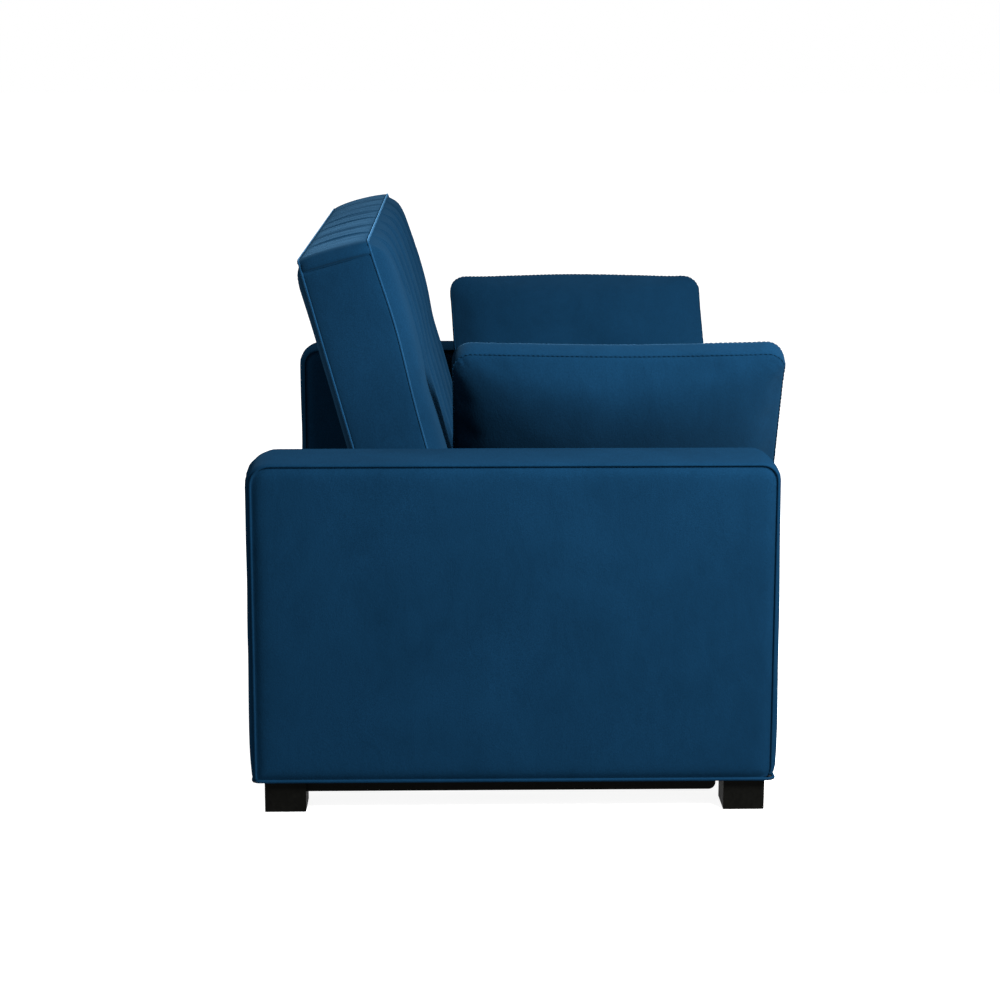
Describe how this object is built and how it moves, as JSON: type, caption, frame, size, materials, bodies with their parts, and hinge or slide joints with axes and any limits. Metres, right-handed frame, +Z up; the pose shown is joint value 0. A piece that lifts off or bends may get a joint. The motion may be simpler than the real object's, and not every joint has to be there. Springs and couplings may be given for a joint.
{
  "type": "convertible sofa bed",
  "caption": "Velvet sofa bed with box arms, a leaning channelled backrest that falls flat, a seat that steps forward over a middle section, and two loose pillows.",
  "frame": {"origin": "on the floor under the middle of the sofa's overall box", "axes": "+Z up, the seat faces -Y, +X is the sitter's left"},
  "size_m": [1.64, 0.942, 0.9647],
  "materials": {
    "velvet": "short-pile velvet, soft sheen",
    "black_block": "satin black",
    "foam": "open-cell upholstery foam",
    "wood": "planed softwood and plywood",
    "black_steel": "black powder coat",
    "zinc_steel": "zinc plated",
    "webbing": "elastic webbing",
    "dust_cloth": "black non-woven cloth",
    "rubber": "moulded rubber",
    "fibre_fill": "polyester fibre fill"
  },
  "bodies": {
    "base": {"arm_left_core": "wood", "arm_left_panels": "wood", "arm_left_padding": "foam", "arm_left_cover": "velvet", "arm_left_base_rail": "black_block", "front_left_leg": "black_block", "rear_left_leg": "black_block", "mechanism_plate_left": "black_steel", "arm_right_core": "wood", "arm_right_panels": "wood", "arm_right_padding": "foam", "arm_right_cover": "velvet", "arm_right_base_rail": "black_block", "front_right_leg": "black_block", "rear_right_leg": "black_block", "mechanism_plate_right": "black_steel", "arm_dust_covers": "dust_cloth", "leg_bolts": "zinc_steel", "front_cross_rail": "black_steel", "middle_cross_rail": "black_steel", "rear_cross_rail": "black_steel", "middle_supports": "wood", "middle_slats": "wood", "middle_foam": "foam", "middle_cover": "velvet", "front_apron_board": "wood", "front_apron_cover": "velvet", "base_pivot_pins": "zinc_steel", "frame_bolts": "zinc_steel", "seat_stop_blocks": "rubber", "backrest_hinge_plates": "black_steel", "backrest_hinge_pins": "zinc_steel", "backrest_bumpers": "rubber"},
    "front_links": {"front_link_left": "black_steel", "front_link_right": "black_steel"},
    "rear_links": {"rear_link_left": "black_steel", "rear_link_right": "black_steel"},
    "seat": {"seat_side_rail_left": "wood", "seat_leg_left": "black_block", "seat_side_rail_right": "wood", "seat_leg_right": "black_block", "seat_pivot_pins": "zinc_steel", "seat_front_rail": "wood", "seat_rear_rail": "wood", "seat_webbing": "webbing", "seat_foam": "foam", "seat_cover": "velvet", "seat_fascia_board": "wood", "seat_fascia_cover": "velvet"},
    "backrest": {"backrest_side_rail_left": "wood", "backrest_side_rail_right": "wood", "backrest_top_rail": "wood", "backrest_bottom_rail": "wood", "backrest_webbing": "webbing", "backrest_foam": "foam", "backrest_cover": "velvet"},
    "pillow_left": {"pillow_left_cover": "velvet", "pillow_left_filling": "fibre_fill"},
    "pillow_right": {"pillow_right_cover": "velvet", "pillow_right_filling": "fibre_fill"}
  },
  "joints": [
    {"name": "seat_swing", "type": "hinge", "parent": "base", "child": "front_links", "pos_m": [0, -0.337, 0.19], "axis": [1, 0, 0], "range_deg": [0, 145.94]},
    {"name": "seat_level", "type": "hinge", "parent": "front_links", "child": "seat", "pos_m": [0, -0.12988, 0.33], "axis": [1, 0, 0], "range_deg": [-145.94, 0]},
    {"name": "rear_link_swing", "type": "hinge", "parent": "base", "child": "rear_links", "pos_m": [0, -0.197, 0.19], "axis": [1, 0, 0], "range_deg": [0, 145.94]},
    {"name": "back_recline", "type": "hinge", "parent": "base", "child": "backrest", "pos_m": [0, 0.12455, 0.23993], "axis": [-1, 0, 0], "range_deg": [0, 74.4]},
    {"name": "pillow_left_lift", "type": "slide", "parent": "seat", "child": "pillow_left", "axis": [0, 0, 1], "range_m": [0, 0.4]},
    {"name": "pillow_right_lift", "type": "slide", "parent": "seat", "child": "pillow_right", "axis": [0, 0, 1], "range_m": [0, 0.4]}
  ],
  "couplings": [
    {"joint": "seat_level", "follows": "seat_swing", "ratio": -1},
    {"joint": "rear_link_swing", "follows": "seat_swing", "ratio": 1}
  ]
}
